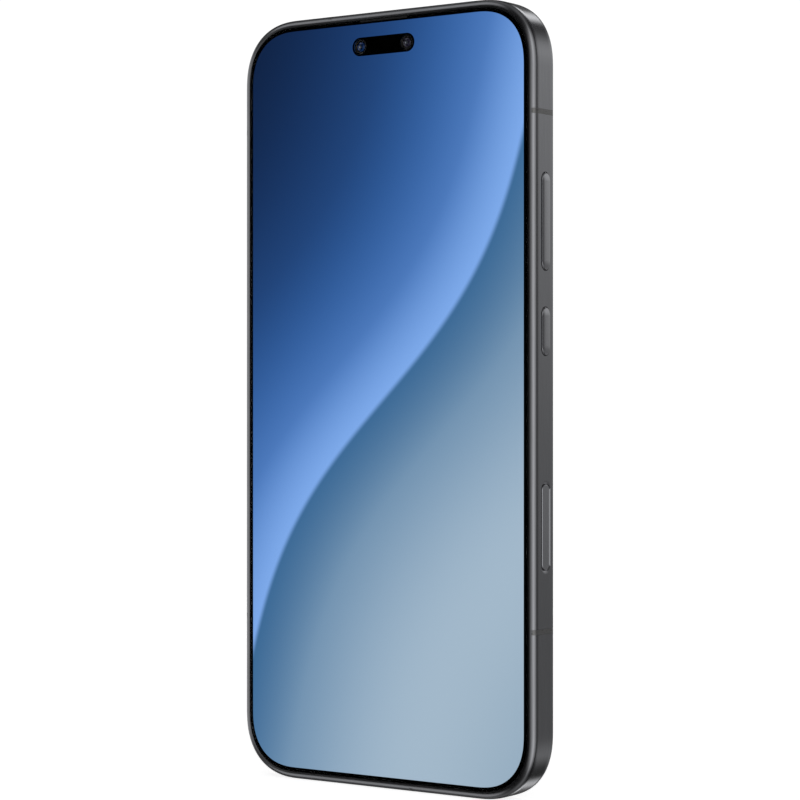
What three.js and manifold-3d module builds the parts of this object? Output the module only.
// A slab smartphone, taken apart to the pieces that a repair bench would lay out.
//
// Everything is drawn in phone coordinates, in millimetres: x to the right of someone looking at the
// screen, y from the screen towards the back, z up, and zero at the middle of the body. The exported
// group then lifts the phone so that it stands on its bottom edge, centred over the origin.

import * as THREE from 'three';
import { mergeVertices } from 'three/addons/utils/BufferGeometryUtils.js';
import Module from 'manifold-3d';

const wasm = await Module();
wasm.setup();

// ---------------------------------------------------------------- driving dimensions

const body = { width: 74.4, height: 161.2, halfThickness: 4.0, cornerRadius: 14.0, cornerPower: 2.4 };
const rim = { width: 1.58, rise: 1.30, sideHalf: 2.60 };      // rolled edge each side of the flat side
const wall = { inset: 2.9, seatInset: 2.45, ledge: 2.85, panelLedge: -2.2 };
const plate = { front: -2.1, back: -1.6 };                    // mid-plate inside the frame
const inside = { front: -1.45, back: 2.4 };                   // room for the battery and the boards
const glass = { thickness: 0.7, gap: 0.12, edgeDrop: 0.27, edgeWidth: 0.74 };
const seal = { inner: 2.4, outer: 1.7, near: 2.9, far: 3.2 };

const keyShape = { width: 3.0, capDepth: 1.6, gap: 0.15, travelRoom: 0.35 };
const keyStem = { width: 1.2, endGap: 2.0, gap: 0.2 };
const keys = [
  { name: 'volume_key', z: 35.55, length: 19.7, proud: 0.35, domes: [-6.2, 6.2] },
  { name: 'power_key', z: 13.6, length: 9.8, proud: 0.35, domes: [0] },
  { name: 'capture_key', z: -25.55, length: 17.4, proud: -0.05, domes: [0] },
];

const frontCamera = { x: 5.9, z: 73.4, windowWidth: 16.0, windowHeight: 3.85, barrelRadius: 1.6, body: 6.0 };
const deck = { z: 53.0, size: 40.0, radius: 12.0, top: 5.7, lip: 1.0, ringTop: 6.9, pitch: 18.0 };
const lens = { window: 5.75, ringOuter: 7.4, seat: 5.95, aperture: 4.9, collar: 5.4, barrel: 4.1, can: 11.6 };
const rearCameras = [
  { name: 'main_camera', x: 1, z: 1 },
  { name: 'wide_camera', x: 1, z: -1 },
  { name: 'tele_camera', x: -1, z: 1 },
];

const battery = { left: -33.8, right: 31.8, bottom: -47.3, top: 29.2 };
const board = { front: -1.45, back: -0.75 };
const subBoard = { front: 1.8, back: 2.4 };
const screw = { headRadius: 1.1, shankRadius: 0.65, holeRadius: 0.8, bossRadius: 1.6, z: 34.3 };
const screwColumns = [-29.0, -12.0, 24.0];

const usb = { width: 8.9, height: 3.2, mouth: -80.1, back: -72.0, wall: 0.3, gap: 0.12, tongueWidth: 6.7 };
const sim = { x: -16.8, plateWidth: 10.9, plateHeight: 2.5, plateBack: -79.3, width: 10.0, thickness: 1.3,
  end: -59.2 };
const card = { width: 8.8, bottom: -73.5, top: -61.2, cutCorner: 1.65, front: -0.05, back: 0.62, gap: 0.1 };
const ejector = { x: -9.7, radius: 0.45, pivotX: -12.9, pivotZ: -56.9, pinRadius: 0.45, gap: 0.25 };
const speaker = { firstHole: 10.2, pitch: 2.3, count: 6, holeRadius: 0.75 };
const microphone = { bottomX: -7.0, topX: 12.0, radius: 0.5 };
const antennaBreak = { width: 1.0, depth: 1.2, gap: 0.06 };
const coil = { z: -6.0, outer: 22.0, inner: 9.0 };

// Openings in the mid-plate, as left, right, bottom, top.
const cameraOpening = [-9.6, 9.6, frontCamera.z - 3.4, frontCamera.z + 3.4];
const ribbonOpening = [-9.0, 9.0, -50.0, -48.4];
const soundOpening = [-5.0, 5.0, body.height / 2 - wall.inset - 1.2, body.height / 2 - wall.seatInset];

// Boxes on the boards, as left, right, bottom, top.
const processorPlace = [-31.0, -17.6, 43.0, 57.0];
const processorShieldPlace = [-32.4, -16.6, 41.0, 62.0];
const radioShieldPlace = [17.0, 31.0, 41.0, 64.0];

const earpiece = { left: -28.0, right: -12.0, bottom: 68.3, top: 75.8, front: -1.4, back: 1.4, wall: 0.7 };
const slitHalf = 6.2;
const speakerBox = { left: 8.6, right: 33.4, bottom: -76.4, top: -51.0, front: -1.4, back: 2.3, skin: 0.8 };
const haptic = { left: -34.1, right: -24.9, bottom: -65.5, top: -48.5, front: -1.4, back: 1.9, skin: 0.4 };

const ribbonThickness = 0.12;
const cornerSteps = 7;
const roundSides = 24;
const smallSides = 12;

// ---------------------------------------------------------------- materials

function finish(color, roughness, metalness) {
  return new THREE.MeshStandardMaterial({ color, roughness, metalness });
}

const finishes = {
  aluminium: finish(0x4a4b50, 0.38, 1.0),
  deckMetal: finish(0x434449, 0.3, 1.0),
  breakPlastic: finish(0x3a3b3f, 0.55, 0.0),
  glass: finish(0x0b0d12, 0.05, 0.0),
  screen: finish(0x2f5586, 0.4, 0.0),
  backGlass: finish(0x3d3e42, 0.35, 0.0),
  rubber: finish(0x151515, 0.8, 0.0),
  blackPlastic: finish(0x1b1c1e, 0.5, 0.0),
  lensBlack: finish(0x0c0c0f, 0.3, 0.2),
  steel: finish(0xb4b6b8, 0.35, 1.0),
  copper: finish(0xb06a3a, 0.35, 1.0),
  board: finish(0x10402b, 0.5, 0.0),
  flex: finish(0x8a5a22, 0.5, 0.0),
  pouch: finish(0x202124, 0.6, 0.0),
  tungsten: finish(0x77787a, 0.4, 1.0),
  chip: finish(0x17181a, 0.4, 0.0),
  card: finish(0xe8e8e4, 0.5, 0.0),
  flash: finish(0xf3e9b8, 0.3, 0.0),
};

// ---------------------------------------------------------------- solids, cuts and joins

function asSolid(geometry) {
  const plain = geometry.clone();
  plain.deleteAttribute('normal');
  plain.deleteAttribute('uv');
  const merged = mergeVertices(plain, 1e-4);
  const vertProperties = new Float32Array(merged.attributes.position.array);
  const triVerts = new Uint32Array(merged.index.array);
  return new wasm.Manifold(new wasm.Mesh({ numProp: 3, vertProperties, triVerts }));
}

function asGeometry(manifold) {
  const mesh = manifold.getMesh();
  const geometry = new THREE.BufferGeometry();
  geometry.setAttribute('position', new THREE.BufferAttribute(mesh.vertProperties, 3));
  geometry.setIndex(new THREE.BufferAttribute(mesh.triVerts, 1));
  geometry.computeVertexNormals();
  return geometry;
}

function cut(base, ...tools) {
  return asGeometry(tools.reduce((rest, tool) => rest.subtract(asSolid(tool)), asSolid(base)));
}

function join(base, ...others) {
  return asGeometry(others.reduce((whole, other) => whole.add(asSolid(other)), asSolid(base)));
}

function common(first, second) {
  return asGeometry(asSolid(first).intersect(asSolid(second)));
}

// ---------------------------------------------------------------- outlines and basic shapes

// One corner point after another, anticlockwise, with a softened (superelliptic) quarter at each corner.
function roundedOutline(halfWidth, halfHeight, radius, power, steps) {
  const points = [];
  [[1, 1], [-1, 1], [-1, -1], [1, -1]].forEach(([signX, signZ], quarter) => {
    for (let step = 0; step <= steps; step++) {
      const turn = quarter % 2 === 0 ? step / steps : 1 - step / steps;
      const angle = turn * Math.PI / 2;
      const across = halfWidth - radius + radius * Math.cos(angle) ** (2 / power);
      const along = halfHeight - radius + radius * Math.sin(angle) ** (2 / power);
      points.push(new THREE.Vector2(signX * across, signZ * along));
    }
  });
  return points;
}

function bodyOutline(inset) {
  const halfWidth = body.width / 2 - inset;
  const halfHeight = body.height / 2 - inset;
  return roundedOutline(halfWidth, halfHeight, body.cornerRadius - inset, body.cornerPower, cornerSteps);
}

// A rounded rectangle with circular corners; a radius of half its width makes a slot with round ends.
function rectangle(x, y, width, height, radius = 0, steps = 4) {
  if (radius === 0) {
    return [[1, 1], [-1, 1], [-1, -1], [1, -1]]
      .map(([signX, signY]) => new THREE.Vector2(x + signX * width / 2, y + signY * height / 2));
  }
  const rounded = roundedOutline(width / 2, height / 2, radius, 2, steps);
  const spread = rounded.filter((point, i) => i === 0 || point.distanceTo(rounded[i - 1]) > 1e-6);
  if (spread[0].distanceTo(spread[spread.length - 1]) < 1e-6) spread.pop();
  return spread.map((point) => point.add(new THREE.Vector2(x, y)));
}

// Raises a flat outline along one axis. The outline's two numbers are (y, z) for x, (x, z) for y
// and (x, y) for z.
function slab(outline, axis, from, to, holes = []) {
  const shape = new THREE.Shape(outline);
  shape.holes = holes.map((hole) => new THREE.Path(hole));
  const geometry = new THREE.ExtrudeGeometry(shape, { depth: to - from, bevelEnabled: false });
  if (axis === 'x') {
    const turn = new THREE.Matrix4().set(0, 0, 1, 0, 1, 0, 0, 0, 0, 1, 0, 0, 0, 0, 0, 1);
    return geometry.applyMatrix4(turn).translate(from, 0, 0);
  }
  if (axis === 'y') return geometry.rotateX(Math.PI / 2).translate(0, to, 0);
  return geometry.translate(0, 0, from);
}

function box(left, right, front, back, bottom, top) {
  const geometry = new THREE.BoxGeometry(right - left, back - front, top - bottom);
  return geometry.translate((left + right) / 2, (front + back) / 2, (bottom + top) / 2);
}

// A box given as left, right, bottom and top, and its depth.
function boxAt([left, right, bottom, top], front, back) {
  return box(left, right, front, back, bottom, top);
}

// A round bar along y through (x, z).
function barY(x, z, radius, from, to, sides = roundSides) {
  return new THREE.CylinderGeometry(radius, radius, to - from, sides).translate(x, (from + to) / 2, z);
}

// A round bar along z through (x, y).
function barZ(x, y, radius, from, to, sides = smallSides) {
  const geometry = new THREE.CylinderGeometry(radius, radius, to - from, sides).rotateX(Math.PI / 2);
  return geometry.translate(x, y, (from + to) / 2);
}

// A turned piece with its axis along y through (x, z). The profile is a list of [radius, y].
function turned(x, z, profile, sides = roundSides) {
  const points = profile.map(([radius, y]) => new THREE.Vector2(radius, y));
  return new THREE.LatheGeometry(points, sides).translate(x, 0, z);
}

// Joins equal rings of points into one skin. A loop of rings closes on itself; an open stack is
// capped at both ends with a fan.
function loft(rings, isLoop) {
  const count = rings[0].length;
  const positions = rings.flat().flatMap((point) => point.toArray());
  const faces = [];
  const bands = isLoop ? rings.length : rings.length - 1;
  for (let band = 0; band < bands; band++) {
    const next = (band + 1) % rings.length;
    for (let i = 0; i < count; i++) {
      const j = (i + 1) % count;
      faces.push(band * count + i, next * count + i, next * count + j);
      faces.push(band * count + i, next * count + j, band * count + j);
    }
  }
  if (!isLoop) {
    for (const ring of [0, rings.length - 1]) {
      const centre = positions.length / 3;
      const sum = rings[ring].reduce((total, point) => total.add(point), new THREE.Vector3());
      positions.push(...sum.divideScalar(count).toArray());
      for (let i = 0; i < count; i++) {
        const pair = [ring * count + i, ring * count + (i + 1) % count];
        faces.push(centre, ...(ring === 0 ? pair : pair.reverse()));
      }
    }
  }
  const geometry = new THREE.BufferGeometry();
  geometry.setAttribute('position', new THREE.Float32BufferAttribute(positions, 3));
  geometry.setIndex(faces);
  geometry.computeVertexNormals();
  return geometry;
}

// Sweeps a cross-section, a list of [inset from the outer outline, y], round the phone's outline.
function sweptRound(profile, isLoop) {
  const ringAt = ([inset, y]) => bodyOutline(inset).map((point) => new THREE.Vector3(point.x, y, point.y));
  return loft(profile.map(ringAt), isLoop);
}

// The frame's outer surface from the front rim, over the flat side, to the back rim.
function outerProfile(shrink = 0, steps = 3) {
  const front = [];
  for (let step = 0; step <= steps; step++) {
    const angle = (1 - step / steps) * Math.PI / 2;
    const inset = rim.width - (rim.width - shrink) * Math.cos(angle);
    front.push([inset, -rim.sideHalf - (rim.rise - shrink * 0.5) * Math.sin(angle)]);
  }
  const back = front.map(([inset, y]) => [inset, -y]).reverse();
  return [...front, ...back];
}

// ---------------------------------------------------------------- frame

// The pocket for one key: a slot in the outer surface and a narrower window through the wall.
function keyPocket(key) {
  const floor = body.width / 2 + key.proud - keyShape.capDepth - keyShape.travelRoom;
  const width = keyShape.width + 2 * keyShape.gap;
  const slot = rectangle(0, key.z, width, key.length + 2 * keyShape.gap, width / 2);
  const windowWidth = keyStem.width + 2 * keyStem.gap;
  const windowLength = key.length - 2 * keyStem.endGap + 4 * keyStem.gap;
  const window = rectangle(0, key.z, windowWidth, windowLength);
  return [slab(slot, 'x', floor, body.width / 2 + 1), slab(window, 'x', body.width / 2 - 4, floor + 0.1)];
}

// The plastic band that splits the frame, as a slice of its outer skin, and the groove that holds it.
const breaks = [
  { name: 'antenna_break_right_upper', x: body.width / 2, z: 57.4 },
  { name: 'antenna_break_right_lower', x: body.width / 2, z: -46.3 },
  { name: 'antenna_break_left_upper', x: -body.width / 2, z: 57.4 },
  { name: 'antenna_break_left_lower', x: -body.width / 2, z: -46.3 },
  { name: 'antenna_break_top', x: -14.0, z: body.height / 2 },
  { name: 'antenna_break_bottom', x: 6.9, z: -body.height / 2 },
];

function breakSlice(place, width, depth) {
  const skin = [...outerProfile(), ...outerProfile(depth).reverse()];
  const isOnSide = Math.abs(place.x) === body.width / 2;
  const reach = 3.0;
  const slice = isOnSide
    ? box(place.x - reach, place.x + reach, -5, 5, place.z - width / 2, place.z + width / 2)
    : box(place.x - width / 2, place.x + width / 2, -5, 5, place.z - reach, place.z + reach);
  // Leaves the two seams of the skin, at the glass rims, clear of the cover edges.
  const reachY = rim.sideHalf + 0.86 * rim.rise;
  const clear = box(-body.width, body.width, -reachY, reachY, -body.height, body.height);
  return common(common(sweptRound(skin, true), slice), clear);
}

function buildFrame() {
  const ring = sweptRound([
    ...outerProfile(),
    [rim.width, wall.ledge],
    [wall.inset, wall.ledge],
    [wall.inset, wall.panelLedge],
    [wall.seatInset, wall.panelLedge],
    [wall.seatInset, -wall.ledge],
    [rim.width, -wall.ledge],
  ], true);
  const midPlate = slab(bodyOutline(wall.inset - 0.2), 'y', plate.front, plate.back);
  const foot = plate.back - 0.2;
  const bosses = screwColumns.map((x) => barY(x, screw.z, screw.bossRadius, foot, 0.35, smallSides));
  const leverPin = barY(ejector.pivotX, ejector.pivotZ, ejector.pinRadius, foot, 0.7, smallSides);

  const bottom = -body.height / 2;
  const { gap } = antennaBreak;
  const through = [bottom - 1, bottom + wall.inset + 1];
  const simHeight = sim.plateHeight + 0.24;
  const simPocket = rectangle(sim.x, 0, sim.plateWidth + 0.24, simHeight, simHeight / 2);
  const simSlot = rectangle(sim.x, 0, sim.width + 0.4, sim.thickness + 0.4);
  const usbHoleHeight = usb.height + 2 * usb.gap;
  const usbHole = rectangle(0, 0, usb.width + 2 * usb.gap, usbHoleHeight, usbHoleHeight / 2);
  const usbHalf = usb.width / 2 + 0.5;
  const openings = [
    ...keys.flatMap(keyPocket),
    slab(usbHole, 'z', ...through),
    box(-usbHalf, usbHalf, plate.front - 1, plate.back + 0.3, bottom + 2, usb.back + 1.5),
    slab(simPocket, 'z', bottom - 1, sim.plateBack + 0.15),
    slab(simSlot, 'z', ...through),
    barZ(ejector.x, 0, ejector.radius + 0.15, ...through),
    barZ(microphone.bottomX, 0, microphone.radius, ...through),
    barZ(microphone.topX, 0, microphone.radius, body.height / 2 - wall.inset - 1, body.height / 2 + 1),
    ...Array.from({ length: speaker.count }, (_, i) =>
      barZ(speaker.firstHole + i * speaker.pitch, 0, speaker.holeRadius, ...through)),
    boxAt(cameraOpening, plate.front - 1, plate.back + 1),
    // The sound channel runs from the slit above the screen down to the earpiece.
    boxAt(soundOpening, -wall.ledge - 0.2, plate.back + 1),
    // The screen's ribbon passes here to the boards.
    boxAt(ribbonOpening, plate.front - 1, plate.back + 1),
    ...screwColumns.map((x) => barY(x, screw.z, screw.holeRadius, plate.back + 0.1, 1, smallSides)),
    ...breaks.map((place) => breakSlice(place, antennaBreak.width + 2 * gap, antennaBreak.depth + gap)),
  ];
  return cut(join(ring, midPlate, leverPin, ...bosses), ...openings);
}

// ---------------------------------------------------------------- screen and covers

// A cover sheet whose rim curves away. side is -1 for the screen side and 1 for the back.
function coverSheet(side) {
  const inset = rim.width + glass.gap;
  const outer = side * body.halfThickness;
  const profile = [
    [inset, outer - side * glass.thickness],
    [inset, outer - side * glass.edgeDrop],
    [inset + glass.edgeWidth * 0.4, outer - side * glass.edgeDrop * 0.36],
    [inset + glass.edgeWidth, outer],
  ];
  return sweptRound(side < 0 ? profile.reverse() : profile, false);
}

function buildCoverGlass() {
  const top = body.height / 2 - rim.width - glass.gap;
  const face = -body.halfThickness;
  const notch = boxAt([-slitHalf, slitHalf, top - 0.55, top + 1], face - 1, face + 1);
  return cut(coverSheet(-1), notch);
}

function buildEarpieceGrille() {
  const top = body.height / 2 - rim.width - glass.gap;
  return box(-slitHalf + 0.2, slitHalf - 0.2, -3.8, -3.35, top - 0.4, top - 0.04);
}

function buildDisplayPanel() {
  const outline = bodyOutline(wall.seatInset + 0.1);
  const { z, windowWidth, windowHeight } = frontCamera;
  const cameraHole = rectangle(0, z, windowWidth, windowHeight, windowHeight / 2, 5);
  return slab(outline, 'y', -3.2, -2.35, [cameraHole]);
}

function buildSeal(side) {
  const { outer, inner, near, far } = seal;
  const profile = [[outer, near], [outer, far], [inner, far], [inner, near]];
  const placed = profile.map(([inset, depth]) => [inset, side * depth]);
  return sweptRound(side < 0 ? placed.reverse() : placed, true);
}

function buildBackCover() {
  const opening = deck.size - 2 * deck.lip;
  const hole = rectangle(0, deck.z, opening, opening, deck.radius - deck.lip, 5);
  return cut(coverSheet(1), slab(hole, 'y', 3, 5));
}

// ---------------------------------------------------------------- rear cameras

// The four round places of the deck: three cameras and the flash.
function deckPlace(x, z) {
  return [x * deck.pitch / 2, deck.z + z * deck.pitch / 2];
}

const flashPlace = deckPlace(-1, -1);

function buildDeck() {
  const neckSize = deck.size - 2 * deck.lip - 0.5;
  const top = slab(rectangle(0, deck.z, deck.size, deck.size, deck.radius, 5), 'y', 4.15, deck.top);
  const neckRadius = deck.radius - deck.lip - 0.25;
  const neck = slab(rectangle(0, deck.z, neckSize, neckSize, neckRadius, 5), 'y', 3.3, 4.3);
  const places = [...rearCameras.map(({ x, z }) => deckPlace(x, z)), flashPlace];
  const rings = places.map(([x, z]) => barY(x, z, lens.ringOuter, deck.top - 0.2, deck.ringTop));
  const bores = places.flatMap(([x, z]) => [
    barY(x, z, lens.seat, 5.9, deck.ringTop + 1),
    barY(x, z, lens.aperture, 4, 7),
    barY(x, z, lens.collar + 0.2, 3, 4.9),
  ]);
  return cut(join(top, neck, ...rings), ...bores);
}

function lensWindow([x, z]) {
  return barY(x, z, lens.window, 6.0, 6.65);
}

function cameraHousing([x, z]) {
  const half = lens.can / 2;
  const can = box(x - half, x + half, inside.front, 3.0, z - half, z + half);
  const collar = barY(x, z, lens.collar, 2.9, 4.6);
  return cut(join(can, collar), barY(x, z, lens.barrel + 0.25, -0.6, 5));
}

// The lens barrel that moves to focus: a stepped tube with a bowl around the front element.
function lensBarrel([x, z]) {
  const r = lens.barrel;
  return turned(x, z, [[0, -0.2], [r, -0.2], [r, 4.9], [r - 0.7, 4.9], [2.0, 4.1], [1.1, 4.45], [0, 4.6]]);
}

function buildFlashLed() {
  const [x, z] = flashPlace;
  const base = box(x - 3.5, x + 3.5, 3.3, 3.7, z - 3.0, z + 3.0);
  return join(base, box(x - 1.9, x + 1.9, 3.6, 4.5, z - 1.2, z + 1.2));
}

// ---------------------------------------------------------------- front cameras and earpiece

function frontCameraModule(side) {
  const { x, z, barrelRadius, body: size } = frontCamera;
  const centre = side * x;
  const block = box(centre - size / 2, centre + size / 2, -2.2, 0.9, z - size / 2, z + size / 2);
  const bowl = [[0, -3.0], [0.7, -2.9], [1.1, -3.15]];
  const wallAndFoot = [[barrelRadius, -3.15], [barrelRadius, -2.0], [0, -2.0]];
  return join(block, turned(centre, z, [...bowl, ...wallAndFoot], 16));
}

function buildEarpieceHousing() {
  const { left, right, bottom, top, front, back, wall: skin } = earpiece;
  const shell = box(left, right, front, back, bottom, top);
  return cut(shell, box(left + skin, right - skin, front + 1.4, back + 1, bottom + skin, top - skin));
}

function buildEarpieceDiaphragm() {
  const { left, right, bottom, top, wall: skin } = earpiece;
  const plateShape = rectangle((left + right) / 2, (bottom + top) / 2, right - left - 2 * skin - 0.4,
    top - bottom - 2 * skin - 0.4, 2.0);
  return slab(plateShape, 'y', 0.5, 0.7);
}

// ---------------------------------------------------------------- boards

function buildMainboard() {
  const outline = [
    [-33.4, 31.2], [32.0, 31.2], [32.0, 67.0], [27.0, 74.0], [15.8, 74.0], [15.8, 37.6],
    [-15.8, 37.6], [-15.8, 65.4], [-33.4, 65.4],
  ].map(([x, z]) => new THREE.Vector2(x, z));
  const holes = screwColumns.map((x) => rectangle(x, screw.z, 3.6, 3.6, 1.8, 3));
  return slab(outline, 'y', board.front, board.back, holes);
}

function shieldCan([left, right, bottom, top]) {
  const skin = 0.3;
  const foot = board.back + 0.1;
  const hollow = box(left + skin, right - skin, foot - 1, 1.6, bottom + skin, top - skin);
  return cut(box(left, right, foot, 1.9, bottom, top), hollow);
}

function buildBoardCover() {
  const outline = rectangle(-2.5, screw.z, 59.0, 5.6, 1.2, 3);
  const holes = screwColumns.map((x) => rectangle(x, screw.z, 1.6, 1.6, 0.8, 3));
  return slab(outline, 'y', 0.5, 0.8, holes);
}

function boardScrew(x) {
  const { headRadius, shankRadius } = screw;
  return turned(x, screw.z, [[0, -1.3], [shankRadius, -1.3], [shankRadius, 0.9], [headRadius, 0.9],
    [headRadius, 1.35], [0, 1.35]], smallSides);
}

function buildSubBoard() {
  return slab([[-24.0, -76.4], [7.8, -76.4], [7.8, -50.6], [-24.0, -50.6]]
    .map(([x, z]) => new THREE.Vector2(x, z)), 'y', subBoard.front, subBoard.back);
}

// A ribbon of even thickness along a path in the (y, z) plane, as wide as left to right.
function ribbon(path, thickness, left, right) {
  const near = path.map(([y, z]) => new THREE.Vector2(y, z));
  const sides = near.map((point, i) => {
    const before = near[Math.max(i - 1, 0)];
    const after = near[Math.min(i + 1, near.length - 1)];
    const along = after.clone().sub(before).normalize();
    return point.clone().add(new THREE.Vector2(along.y, -along.x).multiplyScalar(thickness));
  });
  return slab([...near, ...sides.reverse()], 'x', left, right);
}

// ---------------------------------------------------------------- battery and charging

function buildBattery() {
  const { left, right, bottom, top } = battery;
  const outline = rectangle((left + right) / 2, (bottom + top) / 2, right - left, top - bottom, 2.0, 3);
  return slab(outline, 'y', inside.front, inside.back);
}

function buildCoil() {
  const outline = rectangle(0, coil.z, 2 * coil.outer, 2 * coil.outer, coil.outer, 8);
  const hole = rectangle(0, coil.z, 2 * coil.inner, 2 * coil.inner, coil.inner, 8);
  return slab(outline, 'y', 2.8, 3.1, [hole]);
}

// ---------------------------------------------------------------- bottom edge: socket, tray, speaker

function buildUsbSocket() {
  const { width, height, mouth, back, wall: skin } = usb;
  const shell = slab(rectangle(0, 0, width, height, height / 2), 'z', mouth, back);
  const innerHeight = height - 2 * skin;
  const innerOutline = rectangle(0, 0, width - 2 * skin, innerHeight, innerHeight / 2);
  const hollow = slab(innerOutline, 'z', mouth - 1, back - 1.2);
  const tongue = box(-usb.tongueWidth / 2, usb.tongueWidth / 2, -0.35, 0.35, mouth + 0.6, back - 1);
  return join(cut(shell, hollow), tongue);
}

function buildSimTray() {
  const face = slab(rectangle(sim.x, 0, sim.plateWidth, sim.plateHeight, sim.plateHeight / 2), 'z',
    -body.height / 2 + 0.05, sim.plateBack);
  const half = sim.width / 2;
  const halfDepth = sim.thickness / 2;
  const tongue = box(sim.x - half, sim.x + half, -halfDepth, halfDepth, sim.plateBack - 0.2, sim.end);
  const recessHalf = card.width / 2 + card.gap;
  const recess = box(sim.x - recessHalf, sim.x + recessHalf, card.front - card.gap, 2, card.bottom - card.gap,
    card.top + card.gap);
  return cut(join(face, tongue), recess);
}

// A nano card: one corner is cut off so that it goes in only one way.
function buildSimCard() {
  const left = sim.x - card.width / 2;
  const right = sim.x + card.width / 2;
  const { bottom, top, cutCorner } = card;
  const cutEdge = [[right, top - cutCorner], [right - cutCorner, top]];
  const outline = [[right, bottom], ...cutEdge, [left, top], [left, bottom]]
    .map(([x, z]) => new THREE.Vector2(x, z));
  return slab(outline, 'y', card.front, card.back);
}

function buildSimCage() {
  const half = sim.width / 2;
  const shell = box(sim.x - half - 1.0, sim.x + half + 1.0, -1.3, 1.3, -77.3, -59.0);
  return cut(shell, box(sim.x - half - 0.3, sim.x + half + 0.3, -0.95, 0.95, -79, -57));
}

function buildEjectorRod() {
  const leverUnderside = ejector.pivotZ - 0.8;
  return barZ(ejector.x, 0, ejector.radius, -body.height / 2 + 2.0, leverUnderside - ejector.gap);
}

function buildEjectorLever() {
  const { pivotX, pivotZ, pinRadius } = ejector;
  const arm = box(pivotX - 4.0, pivotX + 4.2, -0.5, 0.5, pivotZ - 0.8, pivotZ + 0.8);
  const hub = barY(pivotX, pivotZ, 1.2, -0.5, 0.5, smallSides);
  return cut(join(arm, hub), barY(pivotX, pivotZ, pinRadius + 0.1, -1, 1, smallSides));
}

// The speaker box follows the phone's round corner, with a cut across its outer bottom corner.
function speakerOutline(margin) {
  const { left, right, bottom, top } = speakerBox;
  const corner = 9.5;
  const low = bottom + margin;
  const lower = [[left + margin, low], [right - corner, low], [right - margin, bottom + corner]];
  const upper = [[right - margin, top - margin], [left + margin, top - margin]];
  return [...lower, ...upper].map(([x, z]) => new THREE.Vector2(x, z));
}

function buildSpeakerHousing() {
  const { bottom, front, back, skin } = speakerBox;
  const shell = slab(speakerOutline(0), 'y', front, back);
  const hollow = slab(speakerOutline(skin), 'y', front + 1.0, back + 1);
  const port = box(10.0, 22.2, -0.4, 0.9, bottom - 1, bottom + 2);
  return cut(shell, hollow, port);
}

function buildSpeakerDiaphragm() {
  const outline = rectangle(20.4, -61.0, 20.0, 13.0, 3.0, 3);
  const dome = rectangle(20.4, -61.0, 14.0, 8.0, 3.0, 3);
  return join(slab(outline, 'y', 0.6, 0.85), slab(dome, 'y', 0.7, 1.15));
}

function buildHapticCase() {
  const { left, right, bottom, top, front, back, skin } = haptic;
  const shell = box(left, right, front, back, bottom, top);
  return cut(shell, box(left + skin, right - skin, front + skin, back + 1, bottom + skin, top - skin));
}

function buildHapticMass() {
  const { left, right, bottom, top, front, back } = haptic;
  const side = 0.8;
  const end = 2.0;
  const block = box(left + side, right - side, front + side, back - 0.4, bottom + end, top - end);
  const slotX = (left + right) / 2;
  return cut(block, box(slotX - 1.6, slotX + 1.6, 0.4, 3, bottom + 4.5, top - 4.5));
}

function buildHapticLid() {
  const { left, right, bottom, top, back } = haptic;
  return box(left, right, back + 0.1, back + 0.35, bottom, top);
}

// ---------------------------------------------------------------- keys

const stemEnd = body.width / 2 - wall.inset - 0.1;

function buildKey(key) {
  const outer = body.width / 2 + key.proud;
  const capBack = outer - keyShape.capDepth;
  const cap = slab(rectangle(0, key.z, keyShape.width, key.length, keyShape.width / 2), 'x', capBack, outer);
  const stemOutline = rectangle(0, key.z, keyStem.width, key.length - 2 * keyStem.endGap);
  const stem = slab(stemOutline, 'x', stemEnd, capBack + 0.2);
  return join(cap, stem);
}

// A strip of ribbon on its stiffener, with one snap dome for each place that the key presses.
function buildKeySwitch(key) {
  const back = stemEnd - 1.05;
  const strip = slab(rectangle(0, key.z, 2.6, key.length - 1.0, 0.6, 2), 'x', back, back + 0.35);
  const domes = key.domes.map((offset) => {
    const dome = new THREE.CylinderGeometry(0.5, 1.1, 0.35, smallSides);
    return dome.rotateZ(-Math.PI / 2).translate(back + 0.5, 0, key.z + offset);
  });
  return join(strip, ...domes);
}

// ---------------------------------------------------------------- the phone

const phone = new THREE.Group();
const deepestBack = deck.ringTop;
const widestKey = Math.max(...keys.map((key) => key.proud));
phone.position.set(-widestKey / 2, (body.halfThickness - deepestBack) / 2, body.height / 2);

function add(name, geometry, material) {
  const mesh = new THREE.Mesh(geometry, material);
  mesh.name = name;
  phone.add(mesh);
}

add('frame', buildFrame(), finishes.aluminium);
breaks.forEach((place) => {
  add(place.name, breakSlice(place, antennaBreak.width, antennaBreak.depth), finishes.breakPlastic);
});

add('cover_glass', buildCoverGlass(), finishes.glass);
add('display_panel', buildDisplayPanel(), finishes.screen);
add('front_seal', buildSeal(-1), finishes.rubber);
add('back_cover', buildBackCover(), finishes.backGlass);
add('back_seal', buildSeal(1), finishes.rubber);

add('camera_deck', buildDeck(), finishes.deckMetal);
rearCameras.forEach(({ name, x, z }) => {
  add(`${name}_window`, lensWindow(deckPlace(x, z)), finishes.glass);
  add(`${name}_housing`, cameraHousing(deckPlace(x, z)), finishes.steel);
  add(`${name}_lens`, lensBarrel(deckPlace(x, z)), finishes.lensBlack);
});
add('flash_window', lensWindow(flashPlace), finishes.glass);
add('flash_led', buildFlashLed(), finishes.flash);

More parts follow.
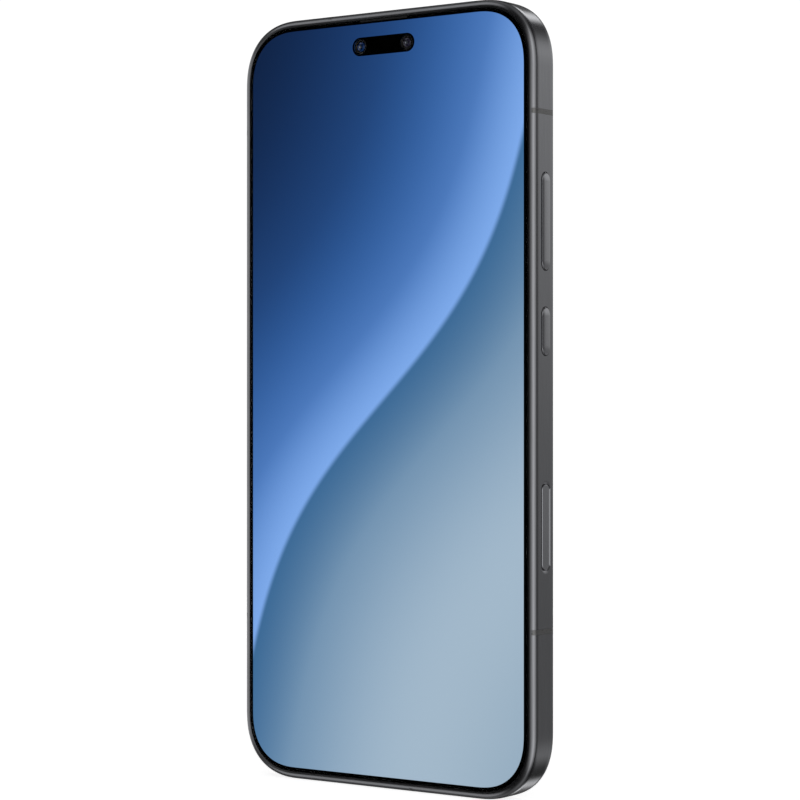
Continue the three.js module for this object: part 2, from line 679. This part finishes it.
add('front_camera_left', frontCameraModule(-1), finishes.lensBlack);
add('front_camera_right', frontCameraModule(1), finishes.lensBlack);
add('earpiece_grille', buildEarpieceGrille(), finishes.blackPlastic);
add('earpiece_housing', buildEarpieceHousing(), finishes.blackPlastic);
add('earpiece_diaphragm', buildEarpieceDiaphragm(), finishes.blackPlastic);

add('mainboard', buildMainboard(), finishes.board);
add('processor', boxAt(processorPlace, board.back + 0.1, 0.9), finishes.chip);
add('processor_shield', shieldCan(processorShieldPlace), finishes.steel);
add('radio_shield', shieldCan(radioShieldPlace), finishes.steel);
add('board_cover', buildBoardCover(), finishes.steel);
screwColumns.forEach((x, i) => add(`board_screw_${i + 1}`, boardScrew(x), finishes.steel));
add('sub_board', buildSubBoard(), finishes.board);
const linkPath = [[2.5, -54.0], [2.5, 29.6], [-0.45, 30.2], [-0.45, 35.6]];
add('board_link_ribbon', ribbon(linkPath, ribbonThickness, -25.8, -18.0), finishes.flex);

add('battery', buildBattery(), finishes.pouch);
const batteryPath = [[1.2, 29.35], [1.2, 29.9], [-0.45, 30.4], [-0.45, 35.6]];
add('battery_ribbon', ribbon(batteryPath, ribbonThickness, -4.0, 4.0), finishes.flex);
add('charging_coil', buildCoil(), finishes.copper);

add('usb_socket', buildUsbSocket(), finishes.steel);
add('speaker_housing', buildSpeakerHousing(), finishes.blackPlastic);
add('speaker_diaphragm', buildSpeakerDiaphragm(), finishes.blackPlastic);
add('speaker_mesh', box(9.2, 22.7, -1.1, 1.1, -77.5, -77.2), finishes.blackPlastic);
add('haptic_case', buildHapticCase(), finishes.steel);
add('haptic_mass', buildHapticMass(), finishes.tungsten);
add('haptic_lid', buildHapticLid(), finishes.steel);

add('sim_cage', buildSimCage(), finishes.steel);
add('sim_tray', buildSimTray(), finishes.aluminium);
add('sim_card', buildSimCard(), finishes.card);
add('ejector_rod', buildEjectorRod(), finishes.steel);
add('ejector_lever', buildEjectorLever(), finishes.steel);

keys.forEach((key) => {
  add(key.name, buildKey(key), finishes.aluminium);
  add(`${key.name}_switch`, buildKeySwitch(key), finishes.flex);
});

const smartphone = new THREE.Group();
smartphone.add(phone);
smartphone.updateMatrixWorld(true);

export default smartphone;
